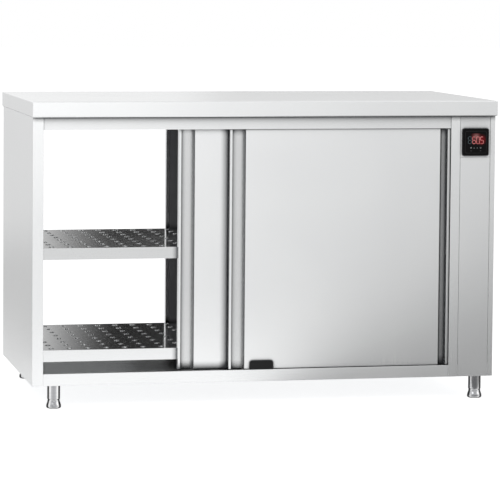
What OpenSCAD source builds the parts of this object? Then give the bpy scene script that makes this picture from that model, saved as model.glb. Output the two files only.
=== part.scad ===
// Pass-through heated cupboard for plates, with four sliding doors and a control column.
// Origin: middle of the footprint, on the floor. +X runs along the worktop, -Y is the control side.

/* [Cabinet] */
// Length of the worktop
cabinet_l = 1400; // [1300:10:1600]
// Depth of the worktop
cabinet_d = 700; // [680:10:800]
// Height of the worktop above the floor
cabinet_h = 900; // [860:5:950]
// Height of the body's underside above the floor
leg_h = 70; // [66:1:90]

/* [Worktop] */
// Height of the worktop's drop edge
top_edge_h = 46; // [40:1:60]
// Worktop sheet
top_t = 1.5; // [1.2:0.1:2]
// Outer radius of the worktop's folds
top_r = 3; // [2.2:0.1:5]
// Width of the lip folded in under the drop edge
top_lip = 24; // [22:1:30]
// Overhang of the worktop at each end
top_over_x = 2; // [1:1:10]
// Overhang of the worktop at front and rear
top_over_y = 15; // [8:1:20]
// Width of a hat stiffener under the worktop
stiffener_w = 70; // [50:1:90]

/* [Body] */
// Outer panel sheet
skin_t = 1.2; // [1:0.1:1.5]
// Inner lining sheet
lining_t = 1; // [0.8:0.1:1.2]
// Thickness of the left double wall
wall_t = 26; // [20:1:40]
// Thickness of the double wall between compartment and column
partition_t = 22; // [18:1:30]
// How far a post flange covers the edge of a door
flange_lap = 6; // [5:0.5:8]
// Width of the column, from the compartment to the outer face
column_w = 131; // [125:1:160]
// Width of the edge flange at the right end
edge_flange = 15; // [12:1:20]
// Depth of the return behind the edge flange
edge_return = 20; // [12:1:30]
// Height of the base rail
base_h = 35; // [32:1:50]
// Width of the base tray's turned-in foot
base_foot = 65; // [60:1:90]
// Height of the rail above the doors
top_rail_h = 37; // [36:1:45]
// Depth of the top rail's shelf that carries the track
rail_shelf = 52; // [50:1:60]

/* [Doors] */
// Width of one door
door_w = 677; // [650:1:690]
// Thickness of one door
door_t = 18; // [17:0.5:22]
// Door sheet
door_sheet = 1; // [0.8:0.1:1.2]
// Gap between the body's front face and the outer door
door_setback = 5; // [4:0.5:7]
// Gap between the two doors of one side
door_gap = 4; // [3.5:0.5:6]
// Clearance under a door
door_foot_gap = 2; // [2:0.5:4]
// How far a door reaches up behind the top rail
door_rise = 5; // [3:0.5:7]
// Width of the lip outside the finger channel at the meeting side
grip_lip_a = 7; // [6:0.5:15]
// Width of the lip outside the finger channel at the closing side
grip_lip_b = 12; // [9:0.5:15]
// Flat width of the finger channel at the meeting side
grip_floor_a = 34; // [14:1:40]
// Flat width of the finger channel at the closing side
grip_floor_b = 17; // [14:1:30]
// Width of the channel's slanted wall
grip_slope = 7; // [5:0.5:16]
// Depth of the finger channel
grip_depth = 13; // [10:0.5:14]
// Width of the flange folded round the back of a door
door_back_flange = 11; // [8:1:20]
// How far the front left door stands open
front_left_open = 407.5; // [0:0.5:550]
// How far the rear left door stands short of its right stop
rear_left_short = 73; // [0:1:550]

/* [Running gear] */
// Outer diameter of a roller
roller_d = 20; // [18:0.5:21]
// Depth of the groove in a roller
groove_depth = 2; // [1.5:0.1:2.5]
// Width of a roller
roller_w = 7; // [6:0.5:7.5]
// Diameter of a roller's pin
pin_d = 5; // [4:0.5:6]
// Distance from a door's edge to its roller
hanger_inset = 80; // [60:5:150]
// Thickness of the hanger plate
hanger_t = 2; // [1.5:0.1:2.5]
// Width of the hanger plate
hanger_w = 26; // [24:1:40]
// Wall of the track profile
track_t = 1.5; // [1.2:0.1:1.8]
// Length of a floor guide
guide_l = 70; // [50:1:100]
// Height of a floor guide above the floor
guide_h = 26; // [20:1:40]
// How far the middle of the floor guide stands right of the opening's middle
guide_offset = 38.5; // [-40:0.5:40]
// Thickness of a door bumper
bumper_t = 2.7; // [2:0.1:3]
// Diameter of a door bumper
bumper_d = 12; // [8:1:14]

/* [Shelves] */
// Height of the lower shelf's surface above the floor tray
lower_shelf_h = 63; // [62:1:100]
// Number of upright slots from the lower shelf up to the middle one
shelf_step = 12; // [8:1:16]
// Depth of a shelf's front edge
shelf_h = 34; // [25:1:45]
// Gap between a shelf and the doors
shelf_door_gap = 3; // [3:0.5:10]
// Width of the lip folded in under a shelf
shelf_lip = 18; // [12:1:25]
// Diameter of the air holes
hole_d = 12; // [8:0.5:20]
// Pitch of the air holes along a shelf
hole_pitch_x = 55; // [40:1:80]
// Pitch of the air holes across a shelf
hole_pitch_y = 71.5; // [40:0.5:90]
// Plain margin between a shelf's edge and the nearest hole
hole_margin = 22; // [18:1:40]
// Width of a slotted upright
upright_w = 20; // [16:1:30]
// Depth of a slotted upright
upright_depth = 8; // [6:0.5:10]
// Distance of an upright from the middle of the wall
upright_y = 200; // [150:5:240]
// Pitch of the slots in an upright
upright_pitch = 25; // [20:1:30]

/* [Control column] */
// Side of the square controller
control_size = 80; // [70:1:86]
// Thickness of the controller's glass front
control_glass_t = 3; // [2:0.5:4]
// Depth of the controller's housing behind the panel
control_depth = 58; // [40:1:75]
// Drop from the worktop's lower edge to the controller's middle
control_drop = 78.5; // [70:0.5:82]
// Height of a digit
digit_h = 22; // [15:0.5:26]
// Width of a digit
digit_w = 11; // [8:0.5:13]
// Drop from the worktop's lower edge to the seam under the control panel
seam_drop = 124; // [122:1:250]
// Gap round the column's front panels
panel_gap = 1; // [0.5:0.1:2]
// Depth of a panel's turned-in edge
panel_edge = 12; // [8:1:18]

/* [Warm air] */
// Width of the fan's frame
fan_size = 92; // [80:1:92]
// Thickness of the fan's frame
fan_t = 25; // [20:1:38]
// Number of fan blades
fan_blades = 7; // [3:1:11]
// Height of the fan's underside above the floor tray
fan_z = 195; // [170:1:240]
// Width of the air duct, front to rear
duct_w = 150; // [130:1:200]
// Depth of the air duct, from the partition
duct_depth = 98; // [96:1:100]
// Height of the air duct
duct_h = 315; // [300:1:330]
// Diameter of the heating element's sheath
heater_d = 8.5; // [6.5:0.5:10]
// Distance of the terminal block's middle behind the column's front
terminal_y = 135; // [120:1:160]
// Drop of the terminal block's underside from the seam under the control panel
terminal_drop = 90; // [60:1:120]
// Distance between the runs of the heating element
heater_pitch = 34; // [26:1:40]
// Number of runs of the heating element
heater_runs = 4; // [2:2:4]

/* [Feet] */
// Diameter of a leg tube
leg_d = 38; // [32:1:42]
// Wall of a leg tube
leg_wall = 1.5; // [1.2:0.1:2]
// Height of a foot under its leg tube
foot_h = 27.7; // [22:0.1:35]
// Widest diameter of a foot
foot_d = 44; // [40:1:55]
// Diameter of a foot's neck
foot_neck_d = 35.5; // [28:0.5:37]
// Diameter of a foot's threaded stud
stud_d = 12; // [8:1:16]
// Distance of a left leg from the left end of the worktop
leg_inset_l = 71; // [60:1:200]
// Distance of a right leg from the right end of the worktop
leg_inset_r = 45; // [40:1:80]
// Distance of a leg from the front and rear of the worktop
leg_inset_y = 53; // [48:1:70]

/* [Hidden] */
$fn = 48;
// Smallest running clearance, the reach of a cut past a surface, and the hole for a 4 mm screw
slip = 0.3;
cut = 5;
screw_hole = 4.4;

// Body planes
body_x0 = -cabinet_l / 2 + top_over_x;
body_x1 = cabinet_l / 2 - top_over_x;
body_y = cabinet_d / 2 - top_over_y;
body_z1 = cabinet_h - top_edge_h;
floor_z = leg_h + base_h;
rail_y = body_y - skin_t;
open_z1 = body_z1 - top_rail_h;
ceiling_z = open_z1 + 3;
wall_x = body_x0 + wall_t;
part_x = body_x1 - column_w;
post_x = part_x + partition_t;
open_x0 = wall_x + flange_lap;
open_x1 = part_x - flange_lap;
skin_x0 = body_x0 + skin_t;
skin_x1 = body_x1 - skin_t;

// Doors
door_pitch = door_t + door_gap;
door_y = body_y - door_setback;
door_z = floor_z + door_foot_gap;
door_h = open_z1 + door_rise - door_z;
door_min_x = wall_x + bumper_t + slip;
door_max_x = part_x - bumper_t - slip - door_w;
front_left_x = door_min_x + front_left_open;
rear_left_x = door_max_x - rear_left_short;
grip_a = [grip_lip_a, grip_floor_a];
grip_b = [grip_lip_b, grip_floor_b];
inner_y = door_y - door_pitch - door_t;

// Running gear, with heights above the floor and depths behind a door's face
rail_z = body_z1 - skin_t;
track_z = open_z1 + door_rise + 1.5;
roller_axis_z = rail_z - track_t - roller_d / 2 - 3;
lip_top = roller_axis_z - roller_d / 2 + groove_depth - slip;
roller_y = door_t / 2 + 2.5;
hanger_y = roller_y - roller_w / 2 - slip - hanger_t;
track_web_y = roller_y + roller_w / 2 + 2;
track_y = inner_y + door_t - track_web_y - track_t;
pin_head = 1.2;

// Shelves
shelf_end_gap = 2.5;
shelf_x0 = wall_x + upright_depth + shelf_end_gap;
shelf_x1 = part_x - upright_depth - shelf_end_gap;
shelf_d = 2 * (inner_y - shelf_door_gap);
lower_z = floor_z + lower_shelf_h;
mid_z = lower_z + shelf_step * upright_pitch;
clip_t = 2;
clip_reach = 18;
clip_skirt = 16;
upright_z0 = floor_z + 5;
upright_z1 = open_z1 - 15;
slot_w = 6;
slot_h = 12;
slot_z = lower_z - shelf_h - slip - clip_t;
upright_screws = [for (s = [-1, 1], z = [slot_z + 1.5 * upright_pitch + slot_h / 2, upright_z1 - slot_h])
                  [s * upright_y, z]];

// Control column
panel_x0 = post_x + panel_gap;
panel_x1 = body_x1 - edge_flange - panel_gap;
control_x = (panel_x0 + panel_x1) / 2;
control_z = body_z1 - control_drop;
seam_z = body_z1 - seam_drop;
control_rim = 2;
control_box = control_size - 9;
column_top = body_z1 - skin_t;
gland_thread = 20;
gland_inset = 140;
gland_x = control_x;
gland_y = cabinet_d / 2 - gland_inset;

// Warm air
duct_t = 0.8;
duct_x1 = post_x + duct_depth;
duct_z0 = floor_z + 1;
duct_z1 = floor_z + duct_h;
fan_x = post_x + duct_depth / 2 - duct_t / 2;
fan_z0 = floor_z + fan_z;
heater_z = floor_z + 48;
heater_run = duct_w - heater_pitch - 18;
duct_flange = 14;
duct_screw = 20;
duct_screws = [for (s = [-1, 1], z = [duct_z0 + duct_screw, duct_z1 - duct_screw])
               [s * (duct_w + duct_flange) / 2, z]];
outlet_z0 = floor_z + 3;
outlet_h = lower_shelf_h - shelf_h - 5;
outlet_w = duct_w - 20;
inlet_z0 = fan_z0 + fan_t + 25;
inlet_h = duct_z1 - inlet_z0 - 12;
inlet_slots = 7;
inlet_pitch = 18;
inlet_bar_w = 11;
probe_z = ceiling_z - 14;
probe_d = 6;

// Feet
foot_gap = slip;
legs = [for (x = [-cabinet_l / 2 + leg_inset_l, cabinet_l / 2 - leg_inset_r])
        for (y = [-cabinet_d / 2 + leg_inset_y, cabinet_d / 2 - leg_inset_y]) [x, y]];
leg_bolt_d = 10;
leg_nut_z = leg_h + skin_t + lining_t;
leg_nut_h = 8;

steel = [0.80, 0.81, 0.82];
dull_steel = [0.62, 0.63, 0.65];
black = [0.08, 0.08, 0.09];

// Folded sheet seen on edge: a centreline path p of sheet t, with round bends
module strip(p, t) {
  for (i = [0:len(p) - 2]) {
    run = p[i + 1] - p[i];
    translate(p[i])
      rotate(atan2(run[1], run[0]))
        translate([0, -t / 2]) square([norm(run), t]);
  }
  for (i = [1:len(p) - 2]) translate(p[i]) circle(d = t, $fn = 24);
}

// Draws a (y, z) outline along X
module along_x(x0, x1) {
  translate([x0, 0, 0]) rotate([90, 0, 90]) linear_extrude(x1 - x0) children();
}

// Draws an (x, z) outline along Y
module along_y(y0, y1) {
  translate([0, y1, 0]) rotate([90, 0, 0]) linear_extrude(y1 - y0) children();
}

// Draws an (x, y) outline along Z
module along_z(z0, z1) {
  translate([0, 0, z0]) linear_extrude(z1 - z0) children();
}

// Keeps the children and adds their mirror image front to rear
module front_and_rear() {
  children();
  mirror([0, 1, 0]) children();
}

module block(a, b) {
  translate(a) cube(b - a);
}

module round_rect(a, b, r) {
  translate([a[0] + r, a[1]]) square([b[0] - a[0] - 2 * r, b[1] - a[1]]);
  translate([a[0], a[1] + r]) square([b[0] - a[0], b[1] - a[1] - 2 * r]);
  for (x = [a[0] + r, b[0] - r], y = [a[1] + r, b[1] - r]) translate([x, y]) circle(r);
}

// Slot of width w whose round ends have their middles l apart along X
module slot(l, w) {
  square([l, w], center = true);
  for (s = [-1, 1]) translate([s * l / 2, 0]) circle(d = w);
}

// Block with its upper and lower edges rounded, top at 0
module rounded_block(l, d, h, r) {
  intersection() {
    along_x(-l / 2, l / 2) round_rect([-d / 2, -h], [d / 2, 0], r);
    along_y(-d / 2, d / 2) round_rect([-l / 2, -h], [l / 2, 0], r);
  }
}

module worktop() {
  color(steel)
    translate([0, 0, cabinet_h])
      difference() {
        rounded_block(cabinet_l, cabinet_d, top_edge_h, top_r);
        translate([0, 0, -top_t])
          rounded_block(cabinet_l - 2 * top_t, cabinet_d - 2 * top_t,
                        top_edge_h - 2 * top_t, top_r - top_t);
        block([-cabinet_l / 2 + top_lip, -cabinet_d / 2 + top_lip, -top_edge_h - cut],
              [cabinet_l / 2 - top_lip, cabinet_d / 2 - top_lip, -top_edge_h / 2]);
      }
}

module worktop_stiffeners() {
  z0 = body_z1 + top_t / 2;
  z1 = cabinet_h - top_t - skin_t / 2;
  foot = 18;
  color(dull_steel)
    for (y = [-cabinet_d / 3.4, 0, cabinet_d / 3.4])
      along_x(body_x0 + top_lip, body_x1 - top_lip)
        translate([y, 0])
          strip([[-stiffener_w / 2 - foot, z1], [-stiffener_w / 2, z1], [-stiffener_w / 2 + foot / 3, z0],
                 [stiffener_w / 2 - foot / 3, z0], [stiffener_w / 2, z1],
                 [stiffener_w / 2 + foot, z1]], skin_t);
}

// Outer wall panel: face at x, flanges at front and rear reaching to x_flange
module end_skin(x, x_flange) {
  cx = x + sign(x_flange - x) * skin_t / 2;
  cy = body_y - skin_t / 2;
  along_z(leg_h, body_z1) strip([[x_flange, -cy], [cx, -cy], [cx, cy], [x_flange, cy]], skin_t);
}

module left_side_skin() {
  color(steel) end_skin(body_x0, open_x0);
}

module right_side_skin() {
  fx = body_x1 - edge_flange + skin_t / 2;
  cy = body_y - skin_t / 2;
  color(steel) {
    end_skin(body_x1, body_x1 - edge_flange);
    front_and_rear()
      along_z(floor_z + panel_gap, body_z1)
        strip([[fx, -cy + edge_return], [fx, -cy], [body_x1 - skin_t, -cy]], skin_t);
  }
}

// Lining sheet facing the compartment, with edges turned away from it
module lining(x, side) {
  y = rail_y - skin_t - lining_t / 2;
  cx = x + side * lining_t / 2;
  tip = x + side * (min(wall_t, partition_t) - 8);
  along_z(floor_z, column_top)
    strip([[tip, -y], [cx, -y], [cx, y], [tip, y]], lining_t);
}

module left_lining() {
  color(steel)
    difference() {
      lining(wall_x, -1);
      along_x(wall_x - wall_t / 2, wall_x + cut) holes(upright_screws, screw_hole);
    }
}

// Windows through the double wall for warm air out, air back in, and the probe
module air_windows(grow) {
  translate([-outlet_w / 2 - grow, outlet_z0 - grow])
    square([outlet_w + 2 * grow, outlet_h + 2 * grow]);
  translate([-outlet_w / 2 - grow, inlet_z0 - grow])
    square([outlet_w + 2 * grow, inlet_h + 2 * grow]);
}

module inlet_bars() {
  for (i = [0:inlet_slots - 1])
    translate([inlet_pitch * (i - (inlet_slots - 1) / 2), inlet_z0 + inlet_h / 2])
      rotate(90) slot(inlet_h - inlet_bar_w, inlet_bar_w);
}

module outlet_window() {
  translate([-outlet_w / 2, outlet_z0]) square([outlet_w, outlet_h]);
}

module probe_hole(r) {
  translate([0, probe_z]) circle(r);
}

// Round holes of diameter d at a list of (y, z) places
module holes(places, d) {
  for (p = places) translate(p) circle(d = d);
}

module partition_lining() {
  color(steel)
    difference() {
      lining(part_x, 1);
      along_x(part_x - cut, part_x + partition_t / 2) {
        inlet_bars();
        outlet_window();
        probe_hole(probe_d / 2 + slip);
        holes(upright_screws, screw_hole);
      }
    }
}

// Sheet on the column side of the partition, with the two post flanges
module partition_post() {
  cx = post_x - skin_t / 2;
  cy = body_y - skin_t / 2;
  notch_z = rail_z - 50;
  color(steel) {
    front_and_rear()
      along_z(leg_h, body_z1) strip([[open_x1, -cy], [post_x, -cy]], skin_t);
    difference() {
      along_z(floor_z, column_top) strip([[cx, -cy], [cx, cy]], skin_t);
      along_x(post_x - partition_t / 2, post_x + cut) {
        air_windows(0);
        probe_hole(probe_d / 2 + slip);
        holes(duct_screws, screw_hole);
      }
      front_and_rear()
        block([part_x, -body_y - cut, notch_z], [post_x + cut, -rail_y + skin_t, rail_z + cut]);
    }
    front_and_rear()
      along_z(notch_z, body_z1) strip([[cx - skin_t, -cy], [cx + skin_t / 2, -cy]], skin_t);
  }
}

module insulation() {
  air = 0.5;
  head_room = 10;
  wool_y = rail_y - skin_t - lining_t - air;
  color([0.85, 0.80, 0.62]) {
    difference() {
      block([skin_x0 + air, -wool_y, floor_z + air], [wall_x - lining_t - air, wool_y, column_top - air]);
      along_x(wall_x - lining_t - cut, wall_x) holes(upright_screws, head_room);
    }
    difference() {
      block([part_x + lining_t + air, -wool_y, floor_z + air],
            [post_x - skin_t - air, wool_y, column_top - air]);
      along_x(part_x - cut, post_x + cut) {
        air_windows(4);
        probe_hole(probe_d / 2 + 2);
        holes(duct_screws, head_room);
        holes(upright_screws, head_room);
      }
    }
    block([wall_x + air, -track_y + lining_t + air, ceiling_z + lining_t + air],
          [part_x - air, track_y - lining_t - air, rail_z - air]);
    difference() {
      block([skin_x0 + air, -wool_y, leg_nut_z + air], [skin_x1 - air, wool_y, floor_z - skin_t - air]);
      for (p = legs)
        translate([p[0], p[1], leg_h]) cylinder(d = 30, h = base_h * 2);
      translate([gland_x, gland_y, leg_h]) cylinder(d = 40, h = base_h * 2);
    }
  }
}

module base_tray() {
  y = rail_y - skin_t / 2;
  z0 = leg_h + skin_t / 2;
  z1 = floor_z - skin_t / 2;
  color(steel)
    difference() {
      along_x(skin_x0, skin_x1)
        strip([[-rail_y + base_foot, z0], [-y, z0], [-y, z1], [y, z1], [y, z0], [rail_y - base_foot, z0]],
              skin_t);
      for (p = legs)
        translate([p[0], p[1], leg_h - cut]) cylinder(d = leg_bolt_d + 2 * slip, h = cut + base_h / 2);
      translate([gland_x, gland_y, floor_z - base_h / 2]) cylinder(d = 16, h = base_h);
    }
}

module bottom_panel() {
  y = rail_y - skin_t - slip;
  color(dull_steel)
    difference() {
      block([skin_x0, -y, leg_h + skin_t], [skin_x1, y, leg_nut_z]);
      for (p = legs)
        translate([p[0], p[1], leg_h]) cylinder(d = leg_bolt_d + 2 * slip, h = base_h / 2);
      translate([gland_x, gland_y, leg_h]) cylinder(d = gland_thread + 2 * slip, h = base_h / 2);
    }
}

module top_rails() {
  y = rail_y - skin_t / 2;
  color(steel)
    front_and_rear()
      along_x(wall_x, part_x)
        strip([[-y, open_z1], [-y, body_z1 - skin_t / 2], [-y + rail_shelf, body_z1 - skin_t / 2]],
              skin_t);
}

// One hanging rail of the track, for a door whose face lies at depth 0
module track_hook() {
  web = track_web_y;
  lip = roller_y - track_t / 2;
  translate([web, track_z]) square([track_t, rail_z - track_z]);
  translate([lip, track_z]) square([web - lip, track_t]);
  translate([lip, track_z]) square([track_t, lip_top - track_z]);
}

module door_tracks() {
  color([0.72, 0.73, 0.75])
    front_and_rear()
      along_x(wall_x, part_x) {
        for (line = [0, 1]) translate([-door_y + line * door_pitch, 0]) track_hook();
        translate([-rail_y + skin_t, rail_z - track_t])
          square([rail_y - skin_t - door_y + door_pitch + track_web_y + track_t, track_t]);
      }
}

module ceiling_panel() {
  y = door_y - door_pitch - track_web_y - track_t - lining_t / 2;
  z = ceiling_z + lining_t / 2;
  color(steel)
    along_x(wall_x, part_x)
      strip([[-y, rail_z - track_t - slip], [-y, z], [y, z], [y, rail_z - track_t - slip]], lining_t);
}

// Column panel: face sheet from z0 to z1, all edges turned in from z_edge up
module column_panel(z0, z1, z_edge) {
  y = body_y - skin_t / 2;
  e = skin_t / 2;
  along_z(z0, z1) strip([[panel_x0, -y], [panel_x1, -y]], skin_t);
  along_z(z_edge, z1)
    strip([[panel_x0 + e, -y + panel_edge], [panel_x0 + e, -y], [panel_x1 - e, -y],
           [panel_x1 - e, -y + panel_edge]], skin_t);
  for (z = [z_edge, z1 - skin_t])
    block([panel_x0, -body_y, z], [panel_x1, -y + panel_edge, z + skin_t]);
}

module service_panel() {
  color(steel) column_panel(leg_h, seam_z - slip / 2, floor_z + panel_gap);
}

module control_panel() {
  color(steel)
    difference() {
      column_panel(seam_z + slip / 2, column_top, seam_z + slip / 2);
      along_y(-body_y - cut, -body_y + cut)
        translate([control_x, control_z])
          square(control_box + 2 * slip, center = true);
    }
}

module rear_column_cover() {
  vents = 12;
  pitch = 14;
  vent_l = 55;
  vent_w = 5;
  vent_drop = 60;
  color(steel)
    difference() {
      mirror([0, 1, 0]) column_panel(leg_h, column_top, floor_z + panel_gap);
      along_y(body_y - cut, body_y + cut) {
        for (i = [0:vents - 1])
          translate([control_x, seam_z - vent_drop - pitch * i]) slot(vent_l, vent_w);
        rear_screw_places() circle(d = screw_hole);
      }
    }
}

module rear_screw_places() {
  for (x = [panel_x0 + 10, panel_x1 - 10],
       z = [floor_z - base_h / 2, (floor_z + body_z1) / 2, column_top - 16])
    translate([x, z]) children();
}

module controller_housing() {
  y0 = -body_y;
  color(black)
    difference() {
      union() {
        along_y(y0 - control_rim, y0)
          translate([control_x, control_z])
            round_rect([-control_size / 2, -control_size / 2], [control_size / 2, control_size / 2], 4);
        along_y(y0 - control_rim, y0 + control_depth)
          translate([control_x, control_z]) square(control_box, center = true);
      }
      along_y(y0 - control_rim / 2, y0 + control_depth - 2)
        translate([control_x, control_z]) square(control_box - 4, center = true);
      along_y(y0 + control_depth / 2, y0 + control_depth + cut)
        translate([control_x, control_z])
          for (i = [-3:3]) translate([i * 8, -control_box / 4]) square([4, 10], center = true);
    }
}

module controller_glass() {
  color(black)
    along_y(-body_y - control_rim - control_glass_t, -body_y - control_rim)
      translate([control_x, control_z])
        round_rect([-control_size / 2, -control_size / 2], [control_size / 2, control_size / 2], 4);
}

// Bar of a seven-segment digit, lying along X and pointed at both ends
module segment(l, w) {
  polygon([[-l / 2, 0], [-l / 2 + w / 2, w / 2], [l / 2 - w / 2, w / 2],
           [l / 2, 0], [l / 2 - w / 2, -w / 2], [-l / 2 + w / 2, -w / 2]]);
}

// Lit bars in the order top, upper right, lower right, bottom, lower left, upper left, middle
module digit(lit) {
  w = digit_w * 0.19;
  x = (digit_w - w) / 2;
  z = (digit_h - w) / 2;
  places = [[0, z, 0], [x, z / 2, 90], [x, -z / 2, 90], [0, -z, 0], [-x, -z / 2, 90], [-x, z / 2, 90], [0, 0, 0]];
  for (i = [0:6])
    if (lit[i] > 0)
      translate([places[i][0], places[i][1]])
        rotate(places[i][2]) segment((places[i][2] > 0 ? z : 2 * x) - w * 0.2, w);
}

module display_digits() {
  glass_y = -body_y - control_rim - control_glass_t;
  pitch = digit_w + 1.2;
  point_r = 0.8;
  six = [1, 0, 1, 1, 1, 1, 1];
  zero = [1, 1, 1, 1, 1, 1, 0];
  five = [1, 0, 1, 1, 0, 1, 1];
  color([0.9, 0.1, 0.1])
    along_y(glass_y - slip, glass_y)
      translate([control_x + control_size * 0.08, control_z + control_size * 0.07]) {
        translate([-pitch, 0]) digit(six);
        digit(zero);
        translate([pitch, 0]) digit(five);
        translate([pitch / 2, point_r - digit_h / 2]) circle(r = point_r);
      }
}

// Five-sided duct of folded sheet, open to the partition, with ledges for the fan
module air_duct() {
  y = duct_w / 2;
  ledge = 6;
  color(dull_steel)
    difference() {
      union() {
        difference() {
          block([post_x, -y, duct_z0], [duct_x1, y, duct_z1]);
          block([post_x - cut, -y + duct_t, duct_z0 + duct_t], [duct_x1 - duct_t, y - duct_t, duct_z1 - duct_t]);
        }
        block([post_x, -y - duct_flange, duct_z0], [post_x + duct_t, -y + duct_t, duct_z1]);
        block([post_x, y - duct_t, duct_z0], [post_x + duct_t, y + duct_flange, duct_z1]);
        front_and_rear()
          block([post_x + 1, -y, fan_z0 - duct_t], [duct_x1, -fan_size / 2 + ledge, fan_z0]);
      }
      along_x(post_x - cut, post_x + cut) holes(duct_screws, screw_hole);
      for (end = [0, heater_runs - 1])
        translate([fan_x, -y - cut, heater_z + heater_pitch * end])
          rotate([-90, 0, 0]) cylinder(d = heater_d + 2 * slip, h = 2 * cut);
    }
}

// Sheathed element: straight runs joined by half-circle bends, ends led out to the front
module heating_element() {
  r = heater_d / 2;
  y0 = -heater_run / 2;
  y1 = heater_run / 2;
  last = heater_runs - 1;
  tail = 22;
  out = duct_w / 2 + tail;
  color([0.35, 0.34, 0.33])
    translate([fan_x, 0, heater_z]) {
      for (i = [0:last])
        translate([0, i == 0 || i == last ? -out : y0, heater_pitch * i])
          rotate([-90, 0, 0]) cylinder(r = r, h = y1 + (i == 0 || i == last ? out : -y0));
      for (i = [0:last - 1])
        translate([0, i % 2 == 0 ? y1 : y0, heater_pitch * (i + 0.5)])
          rotate([0, 90, 0])
            rotate(i % 2 == 0 ? 0 : 180)
              half_bend(heater_pitch / 2, r);
      for (i = [0, last])
        translate([0, -duct_w / 2 - 5, heater_pitch * i])
          rotate([-90, 0, 0]) cylinder(d = heater_d + 8, h = 5, $fn = 6);
    }
}

// Half ring in the plane of the runs, opening to -Y
module half_bend(bend, r) {
  rotate_extrude(angle = 180) translate([bend, 0]) circle(r, $fn = 24);
}

module fan_frame() {
  bore = fan_size - 5;
  hub = fan_size * 0.4;
  color(black)
    translate([fan_x, 0, fan_z0]) {
      linear_extrude(fan_t)
        difference() {
          round_rect([-fan_size / 2, -fan_size / 2], [fan_size / 2, fan_size / 2], 4);
          circle(d = bore);
          for (sx = [-1, 1], sy = [-1, 1]) translate([sx, sy] * (fan_size / 2 - 5)) circle(d = 4.3);
        }
      linear_extrude(3)
        for (a = [45:90:315]) rotate(a) translate([0, -2]) square([bore / 2 + 1, 4]);
      cylinder(d = hub, h = 5);
      cylinder(d = 4, h = fan_t - 4);
    }
}

module fan_impeller() {
  hub = fan_size * 0.4;
  tip = fan_size - 8;
  z0 = 5 + slip;
  height = fan_t - z0 - 2;
  color([0.16, 0.16, 0.17])
    translate([fan_x, 0, fan_z0 + z0])
      difference() {
        union() {
          cylinder(d = hub, h = height);
          intersection() {
            cylinder(d = tip, h = height);
            for (i = [0:fan_blades - 1])
              rotate(360 / fan_blades * i)
                translate([hub / 2 - 2, 0, height / 2])
                  rotate([40, 0, 0]) translate([0, -fan_size / 5, -0.9]) cube([tip, fan_size / 2.5, 1.8]);
          }
        }
        translate([0, 0, -cut]) cylinder(d = 4.1, h = height + cut - 1.5);
      }
}

module terminal_block() {
  l = 66;
  poles = 5;
  y = -body_y + terminal_y;
  z = seam_z - terminal_drop;
  color([0.9, 0.9, 0.86])
    difference() {
      block([post_x, y - l / 2, z], [post_x + 18, y + l / 2, z + 24]);
      for (i = [0:poles - 1])
        translate([post_x + 8, y - l / 2 + l / poles * (i + 0.5), z - 1]) {
          cylinder(d = 6, h = 8);
          translate([0, 0, 19]) cylinder(d = 6, h = 8);
          translate([0, 0, 12]) rotate([0, 90, 0]) cylinder(d = 5, h = 20);
        }
    }
}

module safety_thermostat() {
  y = duct_w / 2;
  z = fan_z0 - 30;
  color(black)
    translate([fan_x, y, z])
      rotate([-90, 0, 0]) {
        linear_extrude(1)
          difference() {
            round_rect([-20, -8], [20, 8], 7);
            for (s = [-1, 1]) translate([s * 15, 0]) circle(d = 4);
          }
        cylinder(d = 16, h = 11);
        for (s = [-1, 1]) translate([s * 4 - 0.4, -3, 10]) cube([0.8, 6, 14]);
      }
}

module temperature_probe() {
  color(steel)
    translate([part_x - 22, 0, probe_z])
      rotate([0, 90, 0]) {
        cylinder(d = probe_d, h = 22 + partition_t + 12);
        translate([0, 0, 17]) cylinder(d = 16, h = 5);
        translate([0, 0, 22 + partition_t]) cylinder(d = 14, h = 6, $fn = 6);
      }
}

module cable_gland() {
  color(black)
    translate([gland_x, gland_y, leg_h + skin_t])
      difference() {
        union() {
          translate([0, 0, -5]) cylinder(d = 27, h = 5, $fn = 6);
          translate([0, 0, -16]) cylinder(d = 24, h = 11, $fn = 24);
          translate([0, 0, -20]) cylinder(d1 = 16, d2 = 23, h = 4);
          cylinder(d = gland_thread, h = 8);
          translate([0, 0, lining_t]) cylinder(d = 27, h = 4, $fn = 6);
        }
        translate([0, 0, -30]) cylinder(d = 11, h = 60);
      }
}

// Middles of the copies of a pattern that fit in a length, set evenly about 0
function spread(length, pitch) =
  let (n = floor((length - 2 * hole_margin) / pitch)) [for (i = [0:n]) (i - n / 2) * pitch];

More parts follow.
